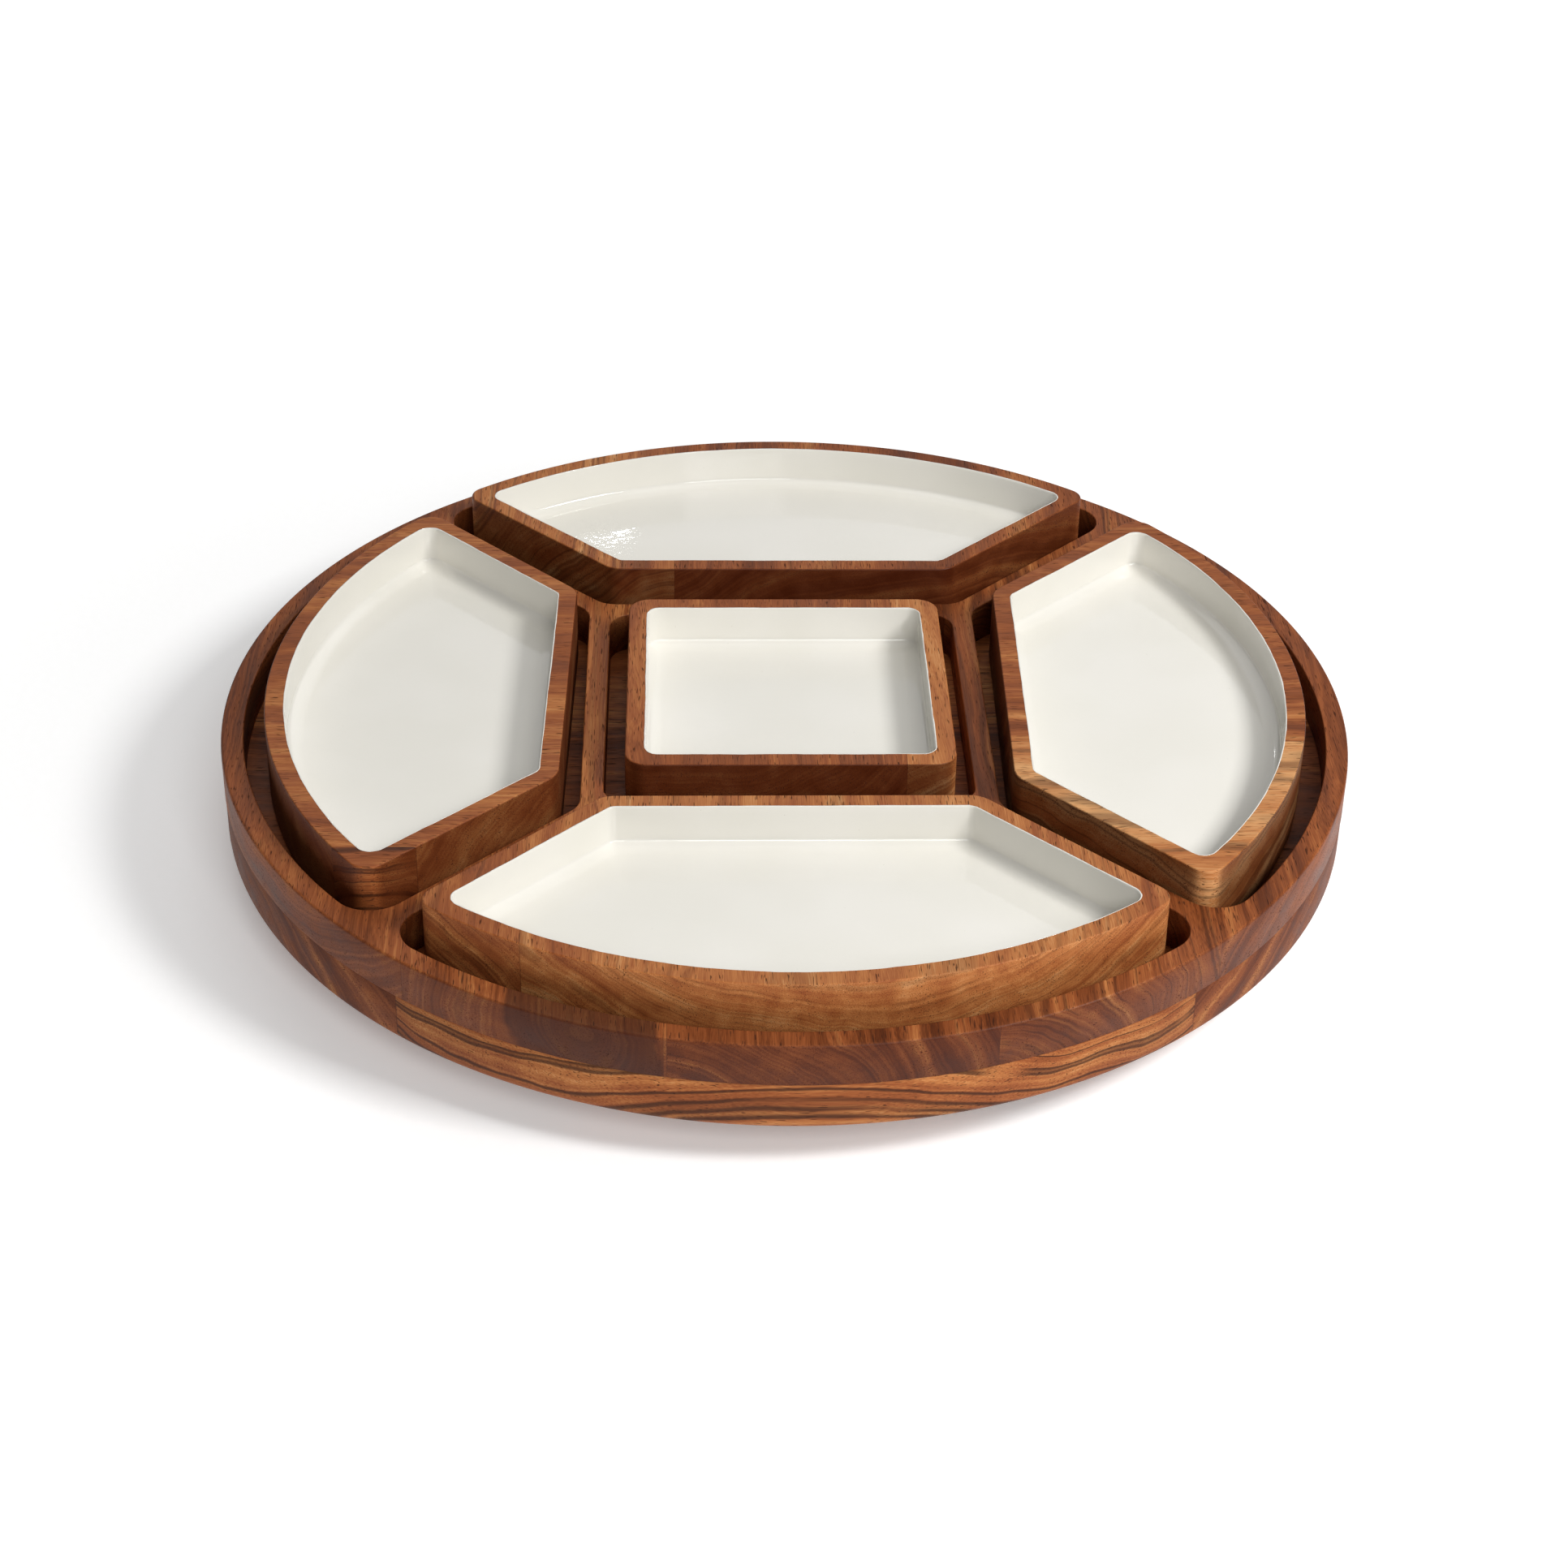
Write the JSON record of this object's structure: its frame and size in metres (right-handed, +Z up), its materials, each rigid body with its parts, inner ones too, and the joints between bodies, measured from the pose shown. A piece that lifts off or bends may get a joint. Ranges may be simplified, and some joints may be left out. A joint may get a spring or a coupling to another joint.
{
  "type": "chip and dip server",
  "caption": "Round wooden turntable tray with a square dip bowl in the middle and quarter-segment chip bowls round it, all lined with glossy enamel.",
  "frame": {"origin": "on the spin axis, on the surface that the rubber feet stand on", "axes": "+Z up along the spin axis; -Y faces the guest; +X to the guest's right"},
  "size_m": [0.4569, 0.457, 0.0695],
  "materials": {
    "tray_wood": "oiled, satin",
    "bowl_wood": "oiled, satin",
    "base_wood": "oiled, satin",
    "enamel": "glossy cream-white enamel",
    "plated_steel": "zinc-plated pressed sheet",
    "ball_steel": "polished",
    "cage_plastic": "moulded",
    "screw_steel": "zinc-plated",
    "foot_rubber": "matte"
  },
  "bodies": {
    "base": {"base_disc": "base_wood", "rubber_foot_1": "foot_rubber", "rubber_foot_2": "foot_rubber", "rubber_foot_3": "foot_rubber", "rubber_foot_4": "foot_rubber", "turntable_lower_plate": "plated_steel", "hub_eyelet": "plated_steel", "base_screws": "screw_steel"},
    "ball_ring": {"ball_cage": "cage_plastic", "turntable_balls": "ball_steel"},
    "tray": {"tray_upper_board": "tray_wood", "tray_lower_board": "tray_wood", "turntable_upper_plate": "plated_steel", "tray_screws": "screw_steel"},
    "center_dish": {"center_bowl": "bowl_wood", "center_lining": "enamel"},
    "right_dish": {"right_bowl": "bowl_wood", "right_lining": "enamel"},
    "back_dish": {"back_bowl": "bowl_wood", "back_lining": "enamel"},
    "left_dish": {"left_bowl": "bowl_wood", "left_lining": "enamel"},
    "front_dish": {"front_bowl": "bowl_wood", "front_lining": "enamel"}
  },
  "joints": [
    {"name": "tray_spin", "type": "hinge", "parent": "base", "child": "tray", "pos_m": [0, 0, 0.018], "axis": [0, 0, 1], "continuous": true},
    {"name": "ball_ring_spin", "type": "hinge", "parent": "base", "child": "ball_ring", "pos_m": [0, 0, 0.0145], "axis": [0, 0, 1], "continuous": true},
    {"name": "center_dish_lift", "type": "slide", "parent": "tray", "child": "center_dish", "axis": [0, 0, 1], "range_m": [0, 0.06]},
    {"name": "right_dish_lift", "type": "slide", "parent": "tray", "child": "right_dish", "axis": [0, 0, 1], "range_m": [0, 0.06]},
    {"name": "back_dish_lift", "type": "slide", "parent": "tray", "child": "back_dish", "axis": [0, 0, 1], "range_m": [0, 0.06]},
    {"name": "left_dish_lift", "type": "slide", "parent": "tray", "child": "left_dish", "axis": [0, 0, 1], "range_m": [0, 0.06]},
    {"name": "front_dish_lift", "type": "slide", "parent": "tray", "child": "front_dish", "axis": [0, 0, 1], "range_m": [0, 0.06]}
  ],
  "couplings": [
    {"joint": "ball_ring_spin", "follows": "tray_spin", "ratio": 0.5}
  ]
}
